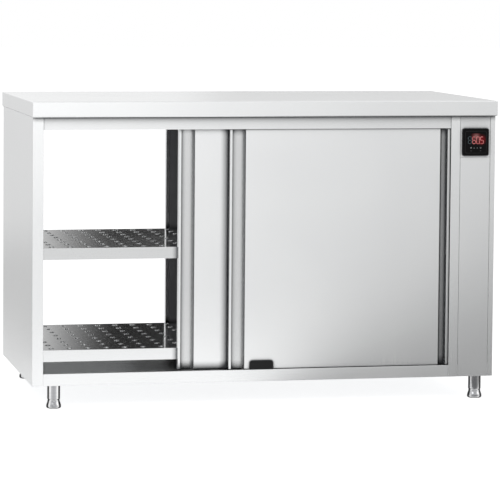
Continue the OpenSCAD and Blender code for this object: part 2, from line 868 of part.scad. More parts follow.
// Perforated shelf of folded sheet, top face at z, with a lip all round and two channels under it
module shelf(z) {
  l = shelf_x1 - shelf_x0;
  d = shelf_d;
  in_x = l / 2 - skin_t;
  in_y = d / 2 - skin_t;
  lip_z = -shelf_h + skin_t;
  rows = spread(d, hole_pitch_y);
  ribs = [(rows[1] + rows[2]) / 2, -(rows[1] + rows[2]) / 2];
  half = hole_pitch_y / 2 - hole_d / 2 - 6;
  rib_x = l / 2 - shelf_lip;
  rib_h = 0.7 * shelf_h;
  color(steel)
    translate([(shelf_x0 + shelf_x1) / 2, 0, z])
      difference() {
        block([-l / 2, -d / 2, -shelf_h], [l / 2, d / 2, 0]);
        block([-l / 2 + shelf_lip, -d / 2 + shelf_lip, -shelf_h - cut],
              [l / 2 - shelf_lip, d / 2 - shelf_lip, lip_z + skin_t]);
        block([-in_x, -in_y, lip_z], [in_x, in_y, -rib_h]);
        for (y = [[-in_y, ribs[0] - half], [ribs[0] + half, ribs[1] - half], [ribs[1] + half, in_y]])
          block([-in_x, y[0], lip_z], [in_x, y[1], -skin_t]);
        for (side = [[-in_x, -rib_x], [rib_x, in_x]])
          block([side[0], -in_y, lip_z], [side[1], in_y, -skin_t]);
        for (y = ribs)
          block([-in_x, y - half + skin_t, -rib_h + skin_t], [in_x, y + half - skin_t, -skin_t]);
        along_z(-2 * skin_t, cut)
          for (x = spread(l, hole_pitch_x), y = rows) translate([x, y]) circle(d = hole_d);
      }
}

// Slotted C section against a wall at x, opening towards the wall
module upright(x, side, y) {
  web = x + side * (upright_depth - skin_t / 2);
  e = upright_w / 2 - skin_t / 2;
  difference() {
    along_z(upright_z0, upright_z1)
      strip([[x, y - e], [web, y - e], [web, y + e], [x, y + e]], skin_t);
    along_x(min(x + side, x + side * (upright_depth + cut)), max(x + side, x + side * (upright_depth + cut))) {
      for (z = [slot_z : upright_pitch : upright_z1 - slot_h - upright_pitch])
        translate([y - slot_w / 2, z]) square([slot_w, slot_h]);
      holes(upright_screws, screw_hole);
    }
  }
}

module shelf_uprights() {
  color(dull_steel)
    for (s = [-1, 1]) {
      upright(wall_x, 1, s * upright_y);
      upright(part_x, -1, s * upright_y);
    }
}

// Clip with a tongue under a shelf and a hook through one slot
module clip(x, side, y, shelf_z) {
  face = x + side * upright_depth;
  z1 = shelf_z - shelf_h - slip;
  near = face - side * (skin_t + clip_t + slip);
  far = face + side * clip_reach;
  block([min(near, far), y - slot_w / 2 + slip, z1 - clip_t], [max(near, far), y + slot_w / 2 - slip, z1]);
  block([min(face, face + side * clip_t), y - upright_w / 2, z1 - clip_skirt],
        [max(face, face + side * clip_t), y + upright_w / 2, z1 - clip_t]);
  tooth = face - side * (skin_t + slip);
  block([min(tooth, near), y - slot_w / 2 + slip, z1 - clip_t - 5],
        [max(tooth, near), y + slot_w / 2 - slip, z1]);
  block([min(face, far), y - upright_w / 2, z1 - clip_t], [max(face, far), y + upright_w / 2, z1]);
}

module shelf_clips() {
  color(dull_steel)
    for (s = [-1, 1], z = [lower_z, mid_z]) {
      clip(wall_x, 1, s * upright_y, z);
      clip(part_x, -1, s * upright_y, z);
    }
}

// Block on the floor tray with a fin before, between and behind the two doors
module door_guides() {
  x = (wall_x + part_x) / 2 + guide_offset;
  base_t = door_foot_gap - 0.5;
  front = -rail_y - 0.7;
  fins = [[front, -door_y - slip],
          [-door_y + door_t + slip, -door_y + door_pitch - slip],
          [-inner_y + slip, -inner_y + shelf_door_gap - slip / 2]];
  back = fins[2][1];
  r = guide_h / 4;
  color(black)
    front_and_rear()
      difference() {
        union() {
          block([x - guide_l / 2, front, floor_z], [x + guide_l / 2, back, floor_z + base_t]);
          for (f = fins)
            along_y(f[0], f[1])
              translate([x, floor_z]) {
                translate([-guide_l / 2, 0]) square([guide_l, guide_h - r]);
                translate([-guide_l / 2 + r, 0]) square([guide_l - 2 * r, guide_h]);
                for (s = [-1, 1]) translate([s * (guide_l / 2 - r), guide_h - r]) circle(r);
              }
        }
        for (s = [-1, 1], line = [0, 1])
          translate([x + s * guide_l / 4, -door_y + line * door_pitch + door_t / 2, floor_z - cut])
            cylinder(d = 5, h = 2 * cut);
      }
}

module door_bumpers() {
  color(black)
    front_and_rear()
      for (line = [0, 1], z = [floor_z + door_h * 0.3, floor_z + door_h * 0.75]) {
        y = -door_y + line * door_pitch + door_t / 2;
        translate([wall_x, y, z]) rotate([0, 90, 0]) cylinder(d = bumper_d, h = bumper_t);
        translate([part_x - bumper_t, y, z]) rotate([0, 90, 0]) cylinder(d = bumper_d, h = bumper_t);
      }
}

// Tube with a closed top, a bolt up into the base and a nut inside for the foot's stud
module leg_tubes() {
  r = leg_d / 2;
  z0 = foot_h + foot_gap;
  nut_z = z0 + 6;
  color(steel)
    for (p = legs)
      translate([p[0], p[1], 0])
        difference() {
          union() {
            translate([0, 0, z0]) cylinder(r = r, h = leg_h - z0);
            translate([0, 0, leg_h]) cylinder(d = leg_bolt_d, h = leg_nut_h + 6);
          }
          translate([0, 0, z0 - cut]) cylinder(r = r - leg_wall, h = cut + nut_z - z0);
          translate([0, 0, z0]) cylinder(d = stud_d + 0.2, h = leg_h - 2.6 - z0);
          translate([0, 0, nut_z + 12]) cylinder(r = r - leg_wall, h = leg_h - 2.6 - nut_z - 12);
        }
}

// Foot with a rounded tread, a drawn-in waist and a threaded stud
module foot(p) {
  tread = 5;
  belly = foot_h * 0.22;
  waist = foot_h * 0.9;
  steps = 10;
  r0 = foot_d / 2;
  r1 = foot_neck_d / 2;
  side = [for (i = [0:steps]) let (u = i / steps)
          [r1 + (r0 - r1) * (1 + cos(180 * u)) / 2, belly + (waist - belly) * u]];
  color(steel)
    translate([p[0], p[1], 0]) {
      rotate_extrude() {
        polygon(concat([[0, 0], [r0 - tread, 0], [r0 - tread, tread], [r0, tread]], side,
                       [[r1 + 0.8, foot_h], [0, foot_h]]));
        intersection() {
          translate([r0 - tread, tread]) circle(tread);
          translate([r0 - tread, 0]) square(tread);
        }
      }
      translate([0, 0, foot_h - 1]) cylinder(d = stud_d, h = leg_h - 4 - foot_h + 1);
    }
}

// Pan-head screw along -Z: head on the surface at 0, shank below it
module screw(d, l) {
  cylinder(d = d * 2, h = d * 0.5);
  translate([0, 0, -l]) cylinder(d = d, h = l);
}

module fasteners() {
  color(dull_steel) {
    for (p = legs)
      translate([p[0], p[1], leg_nut_z])
        difference() {
          cylinder(d = leg_bolt_d * 1.9, h = leg_nut_h, $fn = 6);
          translate([0, 0, -1]) cylinder(d = leg_bolt_d + 0.2, h = leg_nut_h + 2);
        }
    translate([0, body_y, 0])
      rotate([-90, 0, 0])
        mirror([0, 1, 0]) rear_screw_places() screw(4, skin_t);
    for (p = upright_screws) {
      translate([wall_x + upright_depth, p[0], p[1]]) rotate([0, 90, 0]) screw(4, upright_depth + 4);
      translate([part_x - upright_depth, p[0], p[1]]) rotate([0, -90, 0]) screw(4, upright_depth + 4);
    }
    for (p = duct_screws)
      translate([post_x + duct_t, p[0], p[1]]) rotate([0, 90, 0]) screw(4, 6);
  }
}

// Centreline of a door's face sheet, from one back flange round to the other.
// The channels at its left and right are each given by lip and floor width.
function door_path(left, right) =
  let (w = door_w, e = door_sheet / 2, g = grip_depth + e, a = left[0] + left[1], b = w - right[0] - right[1])
  [[door_back_flange, door_t - e], [e, door_t - e], [e, e], [left[0] - e, e], [left[0] - e, g],
   [a, g], [a + grip_slope, e], [b - grip_slope, e], [b, g],
   [w - right[0] + e, g], [w - right[0] + e, e], [w - e, e], [w - e, door_t - e],
   [w - door_back_flange, door_t - e]];

function door_outline(left, right) =
  let (w = door_w, g = grip_depth, a = left[0] + left[1], b = w - right[0] - right[1])
  [[0, 0], [left[0], 0], [left[0], g], [a, g], [a + grip_slope, 0], [b - grip_slope, 0], [b, g],
   [w - right[0], g], [w - right[0], 0], [w, 0], [w, door_t], [0, door_t]];

// Hollow face shell of a door, closed at top and bottom, with its finger channels
module door_skin(left, right) {
  color(steel) {
    linear_extrude(door_h) strip(door_path(left, right), door_sheet);
    for (z = [0, door_h - door_sheet])
      translate([0, 0, z]) linear_extrude(door_sheet) polygon(door_outline(left, right));
  }
}

// Flat back sheet behind the flanges of the face shell
module door_back() {
  edge = door_sheet + slip;
  color(dull_steel)
    block([edge, door_t - 2 * door_sheet, edge], [door_w - edge, door_t - door_sheet, door_h - edge]);
}

// Two angle plates on the door's top edge, each with a headed roller pin
module door_hangers() {
  base = 2;
  rise = roller_axis_z - door_z - door_h;
  pin_l = track_web_y - hanger_y - 0.4;
  color(dull_steel)
    for (x = [hanger_inset, door_w - hanger_inset])
      translate([x, 0, door_h]) {
        block([-hanger_w, 0, 0], [hanger_w, hanger_y + hanger_t, base]);
        for (s = [-1, 1])
          translate([s * hanger_w * 0.75, hanger_y / 2, base]) cylinder(d = 5, h = 1.5);
        along_y(hanger_y, hanger_y + hanger_t) {
          translate([-hanger_w / 2, 0]) square([hanger_w, rise]);
          translate([0, rise]) intersection() {
            circle(d = hanger_w);
            translate([-hanger_w, -hanger_w]) square([2 * hanger_w, hanger_w + roller_d / 2]);
          }
        }
        translate([0, hanger_y, rise]) rotate([-90, 0, 0]) {
          cylinder(d = pin_d, h = pin_l);
          translate([0, 0, pin_l - pin_head]) cylinder(d = pin_d + 3, h = pin_head);
        }
      }
}

// Grooved wheel turning on a hanger's pin
module roller(x) {
  r = roller_d / 2;
  g = groove_depth;
  h = roller_w / 2;
  bore = pin_d / 2 + 0.05;
  flat = track_t / 2 + slip;
  color([0.93, 0.93, 0.90])
    translate([x, roller_y, roller_axis_z - door_z])
      rotate([-90, 0, 0])
        rotate_extrude()
          polygon([[bore, -h], [r, -h], [r, -h + 1], [r - g, -flat], [r - g, flat], [r, h - 1], [r, h],
                   [r - 3, h], [r - 3, h - 0.8], [bore, h - 0.8]]);
}

// Puts a door's pieces at its place: line 0 is the outer one, 1 the inner one
module at_front(x, line) {
  translate([x, -door_y + line * door_pitch, door_z]) children();
}

module at_rear(x, line) {
  mirror([0, 1, 0]) at_front(x, line) children();
}

module front_right_door_skin() {
  at_front(door_max_x, 0) door_skin(grip_a, grip_b);
}

module front_left_door_skin() {
  at_front(front_left_x, 1) door_skin(grip_a, grip_b);
}

module rear_right_door_skin() {
  at_rear(door_max_x, 0) door_skin(grip_b, grip_a);
}

module rear_left_door_skin() {
  at_rear(rear_left_x, 1) door_skin(grip_b, grip_a);
}

worktop();
worktop_stiffeners();
left_side_skin();
left_lining();
insulation();
base_tray();
bottom_panel();
top_rails();
door_tracks();
ceiling_panel();
partition_post();
partition_lining();
right_side_skin();
service_panel();
control_panel();
rear_column_cover();
controller_housing();
controller_glass();
display_digits();
air_duct();
heating_element();
fan_frame();
fan_impeller();
terminal_block();
safety_thermostat();
temperature_probe();
cable_gland();
shelf(mid_z);  // mid_shelf
shelf(lower_z);  // lower_shelf
shelf_uprights();
shelf_clips();
door_guides();
door_bumpers();
leg_tubes();
fasteners();
front_right_door_skin();
front_left_door_skin();
rear_right_door_skin();
rear_left_door_skin();
at_front(door_max_x, 0) door_back();  // front_right_door_back
at_front(front_left_x, 1) door_back();  // front_left_door_back
at_rear(door_max_x, 0) door_back();  // rear_right_door_back
at_rear(rear_left_x, 1) door_back();  // rear_left_door_back
at_front(door_max_x, 0) door_hangers();  // front_right_hangers
at_front(front_left_x, 1) door_hangers();  // front_left_hangers
at_rear(door_max_x, 0) door_hangers();  // rear_right_hangers
at_rear(rear_left_x, 1) door_hangers();  // rear_left_hangers
at_front(door_max_x, 0) roller(hanger_inset);  // front_right_roller_a
at_front(door_max_x, 0) roller(door_w - hanger_inset);  // front_right_roller_b
at_front(front_left_x, 1) roller(hanger_inset);  // front_left_roller_a
at_front(front_left_x, 1) roller(door_w - hanger_inset);  // front_left_roller_b
at_rear(door_max_x, 0) roller(hanger_inset);  // rear_right_roller_a
at_rear(door_max_x, 0) roller(door_w - hanger_inset);  // rear_right_roller_b
at_rear(rear_left_x, 1) roller(hanger_inset);  // rear_left_roller_a
at_rear(rear_left_x, 1) roller(door_w - hanger_inset);  // rear_left_roller_b
foot(legs[0]);  // front_left_foot
foot(legs[1]);  // rear_left_foot
foot(legs[2]);  // front_right_foot
foot(legs[3]);  // rear_right_foot
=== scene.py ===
"""Looks of the pass-through heated plate cupboard: finishes, controller front, shelf collars and studio."""
import math

import bpy
from mathutils import Matrix, Vector


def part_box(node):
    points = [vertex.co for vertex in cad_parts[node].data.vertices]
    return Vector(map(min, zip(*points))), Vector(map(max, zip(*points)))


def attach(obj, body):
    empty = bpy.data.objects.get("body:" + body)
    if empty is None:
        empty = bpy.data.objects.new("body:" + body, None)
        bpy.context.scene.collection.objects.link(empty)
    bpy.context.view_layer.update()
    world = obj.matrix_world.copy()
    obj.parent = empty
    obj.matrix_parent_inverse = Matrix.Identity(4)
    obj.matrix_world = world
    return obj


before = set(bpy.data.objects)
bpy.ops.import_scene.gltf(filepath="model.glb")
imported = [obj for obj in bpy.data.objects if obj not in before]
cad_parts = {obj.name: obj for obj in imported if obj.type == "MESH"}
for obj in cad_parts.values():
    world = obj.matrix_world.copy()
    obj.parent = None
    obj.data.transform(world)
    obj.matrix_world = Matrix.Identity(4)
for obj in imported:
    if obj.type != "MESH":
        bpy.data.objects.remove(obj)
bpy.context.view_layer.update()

MM = 0.001
DOORS = ("front_right", "front_left", "rear_right", "rear_left")
FEET = ("front_left", "front_right", "rear_left", "rear_right")
# Noise along a scratch or a ring, counted to the metre: one runs for about 170 mm before it fades
ALONG = 6
# Stretch of a pattern over which a finish's two colours spread, and its two degrees of gloss
COLOUR_SPAN, GLOSS_SPAN = (0.3, 0.7), (0.25, 0.75)
# Painted shade in folds: share of open air from full shade to none, and a wall's leftward slant from shaded
# to spared
OPEN_AIR, LEFTWARD = (0.56, 0.97), (-0.4, -0.8)
# Painted reflection across a polished tube: shades from the line that faces the eye to the outline
LEG_PAINTED_REFLECTION = ((0.0, "#a3a4a6"), (0.08, "#bcbdbf"), (0.17, "#fbfbfb"), (0.25, "#f4f4f4"), (0.36, "#2e2e30"),
             (1.0, "#141416"))
# Middle of the controller's glass front, in metres
CONTROLLER = (0.636, -0.340, 0.7755)
# Widths and heights on the glass in millimetres: window, frame line and one bar of the unlit digit
WINDOW, FRAME_LINE, BAR = (62, 38), (66, 66), (2.1, 9.4)
WINDOW_UP = 7
# Touch marks and small signs: sides, width, height, place from the glass's middle and width of an open rim
TOUCH_MARKS = ((24, 4.6, 4.6, (-14.8, -17), 0), (3, 3.2, 6.0, (-5.2, -17.8), 0),
               (3, 4.2, 4.4, (4.4, -17.4), 0), (4, 4.2, 4.2, (14.8, -17), 0.9))
SMALL_SIGNS = ((4, 4.0, 1.6, (-14.8, -26), 0), (4, 4.0, 1.6, (14.8, -26), 0), (24, 3.2, 3.2, (-30, 17.8), 0))
# Red behind the smoked window, in millimetres from the glass's middle: sideways, up, reach and tint
GLOWS = ((17, 7, 20, "#6e0610"), (1, 17, 19, "#86605e"))
# Unlit digit: its place on the glass, the step between lying bars, and how far aside upright ones stand
DIGIT, BAR_STEP, BAR_ASIDE = (-19, 5.9), 10.2, 4.6
LYING, UPRIGHT = math.pi / 2, 0
# Air holes of a shelf in millimetres: pitch along and across it, and the plain margin at its edges
HOLE_PITCH, HOLE_MARGIN = (55.0, 71.5), 22
# Collar of a hole in millimetres: radius at its foot, then each next radius with the rise up to it
COLLAR_FOOT, COLLAR_STEPS = 8.6, ((7.4, 1.2), (6.5, 0.0), (6.1, -1.3))
# Strength of the white floor to the eye and in the steel, and of the sky's light on the pieces
FLOOR_SEEN, FLOOR_MIRRORED, SKY_LIGHT = 0.8, 0.42, 0.55
# Camera: place in metres, turn, tilt and roll in degrees, lens in millimetres and its slide
CAMERA_PLACE = (-1.754, -7.952, 1.254)
CAMERA_TURN, CAMERA_TILT, CAMERA_ROLL = -11.66, 90 - 3.66, 0.41
LENS, LENS_SLIDE = 191.5, (0.085, -0.2)


def linear(code):
    """Turns an sRGB hex colour into the linear values that shaders take."""
    parts = [int(code[i:i + 2], 16) / 255 for i in (1, 3, 5)]
    return (*(p / 12.92 if p <= 0.04045 else ((p + 0.055) / 1.055) ** 2.4 for p in parts), 1.0)


def add(tree, kind, inputs=None, stops=(), **settings):
    """Adds a node with its settings and a ramp's stops, and sets or links its inputs."""
    made = tree.nodes.new("ShaderNode" + kind)
    for name, value in settings.items():
        setattr(made, name, value)
    for at, _ in stops[2:]:
        made.color_ramp.elements.new(at)
    for index, (at, shade) in enumerate(stops):
        made.color_ramp.elements[index].position = at
        made.color_ramp.elements[index].color = linear(shade)
    for name, value in (inputs or {}).items():
        if isinstance(value, bpy.types.NodeSocket):
            tree.links.new(value, made.inputs[name])
        else:
            made.inputs[name].default_value = value
    return made


def new_finish(name):
    """Starts a material with an empty tree and its output."""
    finish = bpy.data.materials.new(name)
    finish.use_nodes = True
    finish.node_tree.nodes.clear()
    return finish, finish.node_tree, finish.node_tree.nodes.new("ShaderNodeOutputMaterial")


def surface(tree, out, pattern, colours, roughness, inputs, span=COLOUR_SPAN, tone=None):
    """Spreads one pattern over a finish's colour and roughness, and links the shader that has them.

    Tone is a function that changes the colour before the shader takes it.
    """
    colour = add(tree, "ValToRGB", {"Fac": pattern}, tuple(zip(span, colours))).outputs["Color"]
    rough = add(tree, "MapRange", {"Value": pattern, "From Min": GLOSS_SPAN[0], "From Max": GLOSS_SPAN[1],
                                   "To Min": roughness[0], "To Max": roughness[1]}).outputs["Result"]
    shader = add(tree, "BsdfPrincipled", {"Base Color": tone(colour) if tone else colour, "Roughness": rough,
                                          **inputs})
    tree.links.new(shader.outputs["BSDF"], out.inputs["Surface"])


def painted_fold_shade(tree, colour, reach, darkest_shade):
    """Paints shade into a colour in seams and inside corners, not on walls facing the light from the left."""
    open_air = add(tree, "AmbientOcclusion", {"Distance": reach * MM}, samples=16).outputs["AO"]
    clear = add(tree, "MapRange", {"Value": open_air, "From Min": OPEN_AIR[0],
                                   "From Max": OPEN_AIR[1]}).outputs["Result"]
    normal = add(tree, "SeparateXYZ", {"Vector": add(tree, "NewGeometry").outputs["Normal"]}).outputs["X"]
    leftward = add(tree, "MapRange", {"Value": normal, "From Min": LEFTWARD[0],
                                      "From Max": LEFTWARD[1]}).outputs["Result"]
    clear = add(tree, "Math", {0: clear, 1: leftward}, operation="MAXIMUM").outputs[0]
    return add(tree, "Mix", {0: clear, 6: linear(darkest_shade), 7: colour}, data_type="RGBA").outputs[2]


def ground_steel(name, run, colours, roughness, scratch, spacing=0.35, fold_shade="#3c3d3f", reach=18):
    """Sheet ground with a belt: fine scratches along one axis, over faint clouds from the rolling mill.

    The spacing of the scratches and the reach of the painted shade in folds are in millimetres; the fold
    colour is that painted shade at its darkest.
    """
    finish, tree, out = new_finish(name)
    place = add(tree, "TexCoord").outputs["Object"]
    across = 1 / (spacing * MM)
    scale = [across, across, across]
    scale["xyz".index(run)] = ALONG
    lines = add(tree, "Mapping", {"Vector": place, "Scale": scale}).outputs["Vector"]
    grain = add(tree, "TexNoise", {"Vector": lines, "Scale": 1.0, "Detail": 3.0,
                                   "Roughness": 0.6}).outputs["Fac"]
    clouds = add(tree, "TexNoise", {"Vector": place, "Scale": 3.5, "Detail": 2.0}).outputs["Fac"]
    both = add(tree, "Mix", {"Factor": 0.45, "A": grain, "B": clouds}, data_type="FLOAT").outputs["Result"]
    rounded = add(tree, "Bevel", {"Radius": 1.2 * MM}, samples=4).outputs["Normal"]
    scored = add(tree, "Bump", {"Strength": scratch, "Distance": 0.3 * MM, "Height": grain,
                                "Normal": rounded}).outputs["Normal"]
    surface(tree, out, both, colours, roughness, {"Metallic": 1.0, "Normal": scored},
            tone=lambda colour: painted_fold_shade(tree, colour, reach, fold_shade))
    return finish


def galvanised_sheet():
    """Hot-dip zinc: flat crystals a centimetre across, each a little lighter or darker."""
    finish, tree, out = new_finish("galvanised_sheet")
    place = add(tree, "TexCoord").outputs["Object"]
    crystals = add(tree, "TexVoronoi", {"Vector": place, "Scale": 90.0}).outputs["Color"]
    shade = add(tree, "SeparateColor", {"Color": crystals}).outputs["Red"]
    surface(tree, out, shade, ("#9ea3a8", "#b9bdc1"), (0.38, 0.52), {"Metallic": 1.0}, span=(0, 1))
    return finish


def zinc_plated_steel():
    """Bright zinc with a faint straw tint in patches, on small pressed and turned parts."""
    finish, tree, out = new_finish("zinc_plated_steel")
    place = add(tree, "TexCoord").outputs["Object"]
    tint = add(tree, "TexNoise", {"Vector": place, "Scale": 60.0, "Detail": 2.0}).outputs["Fac"]
    surface(tree, out, tint, ("#b4b8bd", "#cfcab8"), (0.26, 0.4), {"Metallic": 1.0})
    return finish


def polished_leg_steel():
    """Bright tube and turned foot: rings of the polishing wheel, 17 to the centimetre, under a painted
    reflection with dark flanks.
    """
    finish, tree, out = new_finish("polished_leg_steel")
    place = add(tree, "TexCoord").outputs["Object"]
    rings = add(tree, "Mapping", {"Vector": place, "Scale": (ALONG, ALONG, 17 / (10 * MM))}).outputs["Vector"]
    marks = add(tree, "TexNoise", {"Vector": rings, "Scale": 1.0, "Detail": 2.0}).outputs["Fac"]
    scored = add(tree, "Bump", {"Strength": 0.04, "Distance": 0.2 * MM, "Height": marks}).outputs["Normal"]
    # Painted reflection: bright bands where the tube faces the eye, dark flanks towards its outline
    flank = add(tree, "LayerWeight", {"Blend": 0.5}).outputs["Facing"]
    bands = add(tree, "ValToRGB", {"Fac": flank}, LEG_PAINTED_REFLECTION).outputs["Color"]
    surface(tree, out, marks, ("#e9e9ea", "#fafafa"), (0.12, 0.22), {"Metallic": 1.0, "Normal": scored},
            tone=lambda colour: add(tree, "Mix", {0: 1.0, 6: bands, 7: colour}, data_type="RGBA",
                                    blend_type="MULTIPLY").outputs[2])
    return finish


def heater_sheath():
    """Steel sheath that has glowed: straw, violet and blue bands of oxide along the runs."""
    finish, tree, out = new_finish("heater_sheath")
    place = add(tree, "TexCoord").outputs["Object"]
    bands = add(tree, "TexNoise", {"Vector": place, "Scale": 26.0, "Detail": 3.0}).outputs["Fac"]
    surface(tree, out, bands, ("#6d5c46", "#4b4f63"), (0.4, 0.6), {"Metallic": 1.0})
    return finish


def moulded(name, colours, roughness, grit, depth=0.08, ior=1.5):
    """Moulded plastic or rubber: an even colour with the fine spark-eroded texture of its mould."""
    finish, tree, out = new_finish(name)
    place = add(tree, "TexCoord").outputs["Object"]
    skin = add(tree, "TexNoise", {"Vector": place, "Scale": 1 / (grit * MM), "Detail": 2.0}).outputs["Fac"]
    pitted = add(tree, "Bump", {"Strength": depth, "Distance": 0.3 * MM, "Height": skin}).outputs["Normal"]
    surface(tree, out, skin, colours, roughness, {"IOR": ior, "Normal": pitted})
    return finish


def mineral_wool():
    """Spun rock fibre in a pressed slab: matt, tan, with long tangled streaks."""
    finish, tree, out = new_finish("mineral_wool")
    place = add(tree, "TexCoord").outputs["Object"]
    fibres = add(tree, "TexNoise", {"Vector": place, "Scale": 160.0, "Detail": 6.0,
                                    "Distortion": 2.0}).outputs["Fac"]
    tangled = add(tree, "Bump", {"Strength": 0.6, "Distance": 1 * MM, "Height": fibres}).outputs["Normal"]
    surface(tree, out, fibres, ("#a08a55", "#d0bf8b"), (0.85, 0.98), {"Normal": tangled})
    return finish


def black_glass(name, shine=None):
    """Back-painted glass of the controller: deep black and glossy, with the faintest ripple.

    Shine is a function that gives the shader the light behind the glass.
    """
    finish, tree, out = new_finish(name)
    place = add(tree, "TexCoord").outputs["Object"]
    ripple = add(tree, "TexNoise", {"Vector": place, "Scale": 40.0, "Detail": 1.0}).outputs["Fac"]
    lit = shine(tree, place) if shine else {}
    surface(tree, out, ripple, ("#030303", "#050506"), (0.04, 0.1),
            {"IOR": 1.5, "Specular IOR Level": 0.12, **lit})
    return finish


def red_spread(tree, place):
    """Red of the lit bars as it spreads in the smoked window: deep on the right, brownish at the top."""
    spread = 0.0
    hue = linear("#7a0b12")
    for across, up, reach, tint in GLOWS:
        middle = [CONTROLLER[0] + across * MM, CONTROLLER[1], CONTROLLER[2] + up * MM]
        apart = add(tree, "VectorMath", {0: place, 1: middle}, operation="DISTANCE").outputs["Value"]
        near = add(tree, "MapRange", {"Value": apart, "From Min": reach * MM, "From Max": 0.0},
                   interpolation_type="SMOOTHSTEP").outputs["Result"]
        hue = add(tree, "Mix", {0: near, 6: hue, 7: linear(tint)}, data_type="RGBA").outputs[2]
        spread = add(tree, "Math", {0: spread, 1: near}, operation="MAXIMUM").outputs[0]
    glow = add(tree, "Mix", {0: spread, 6: (0, 0, 0, 1), 7: hue}, data_type="RGBA").outputs[2]
    return {"Emission Color": glow, "Emission Strength": 0.9}


def lit_red():
    """Light-emitting bars of the display: pinkish red, a little uneven from bar to bar."""
    finish, tree, out = new_finish("display_red")
    place = add(tree, "TexCoord").outputs["Object"]
    patches = add(tree, "TexNoise", {"Vector": place, "Scale": 180.0, "Detail": 1.0}).outputs["Fac"]
    pinks = ("#a83a40", "#c8807c")
    glow = add(tree, "ValToRGB", {"Fac": patches}, tuple(zip(COLOUR_SPAN, pinks))).outputs["Color"]
    surface(tree, out, patches, pinks, (0.3, 0.45), {"Emission Color": glow, "Emission Strength": 0.4})
    return finish


def printed_mark(name, colours):
    """Screen ink under the glass, worn thin in specks."""
    finish, tree, out = new_finish(name)
    place = add(tree, "TexCoord").outputs["Object"]
    specks = add(tree, "TexNoise", {"Vector": place, "Scale": 900.0, "Detail": 1.0}).outputs["Fac"]
    surface(tree, out, specks, colours, (0.35, 0.5), {})
    return finish


# Belt-ground stainless 304, grit 240: a soft pale sheen with the scratches along the sheet's length
BELT_GROUND = {"colours": ("#e3e4e5", "#e9eaea"), "roughness": (0.24, 0.28), "scratch": 0.015}
steel_along = ground_steel("brushed_stainless_along", "x", **BELT_GROUND)
steel_upright = ground_steel("brushed_stainless_upright", "z", **BELT_GROUND)
# The same sheet close under the worktop's edge, with the edge's shadow painted into its colour for 60 mm
rail_steel_painted_shade = ground_steel("brushed_stainless_rail_painted_shade", "x", reach=60, **BELT_GROUND)
head_steel_painted_shade = ground_steel("brushed_stainless_head_painted_shade", "z", reach=60, **BELT_GROUND)
# The same sheet on the doors, with a darker painted shade that spreads across their deep finger channels
# towards one wall
door_steel_painted_shade = ground_steel("brushed_stainless_door_painted_shade", "z", reach=28, fold_shade="#303133", **BELT_GROUND)
# The same sheet, a little duller, as the tray's floor: it lies in the half-light, so the shade painted in its
# folds is pale
tray_steel_painted_shade = ground_steel("brushed_stainless_tray_painted_shade", "x", ("#e3e4e5", "#e9eaea"), (0.24, 0.34), 0.03,
                             fold_shade="#c4c5c6")
# Mill-finish stainless of the hidden faces: duller and greyer, with broader scratches
LINING = {"colours": ("#a6a7a9", "#b9babb"), "roughness": (0.3, 0.42), "scratch": 0.06, "spacing": 0.5}
lining_upright = ground_steel("satin_lining_upright", "z", **LINING)
lining_along = ground_steel("satin_lining_along", "x", **LINING)
# Perforated stainless of the shelves: rolled bright, a little darker than the ground panels, grain along them
shelf_sheet = ground_steel("shelf_sheet", "x", ("#dcddde", "#e4e5e5"), (0.09, 0.14), 0.03, 0.4, "#8d8e90")
# Back sheets of the doors, painted a darker dull grey for the shade inside the cabinet, with the rolling
# lines upright
door_back_sheet_painted_shade = ground_steel("door_back_sheet_painted_shade", "z", ("#98989b", "#a5a5a8"), (0.36, 0.48), 0.06, 0.6,
                               "#6c6c6e")
# Extruded aluminium as it leaves the die: draw lines along the track
aluminium = ground_steel("track_aluminium", "x", ("#b9bbbe", "#cdced1"), (0.32, 0.45), 0.1, 0.9)
# Drawn stainless tube of the probe: brighter than the linings, with the finest lines
probe_steel = ground_steel("probe_steel", "x", ("#bcbdbf", "#d2d3d4"), (0.2, 0.3), 0.05, 0.3)

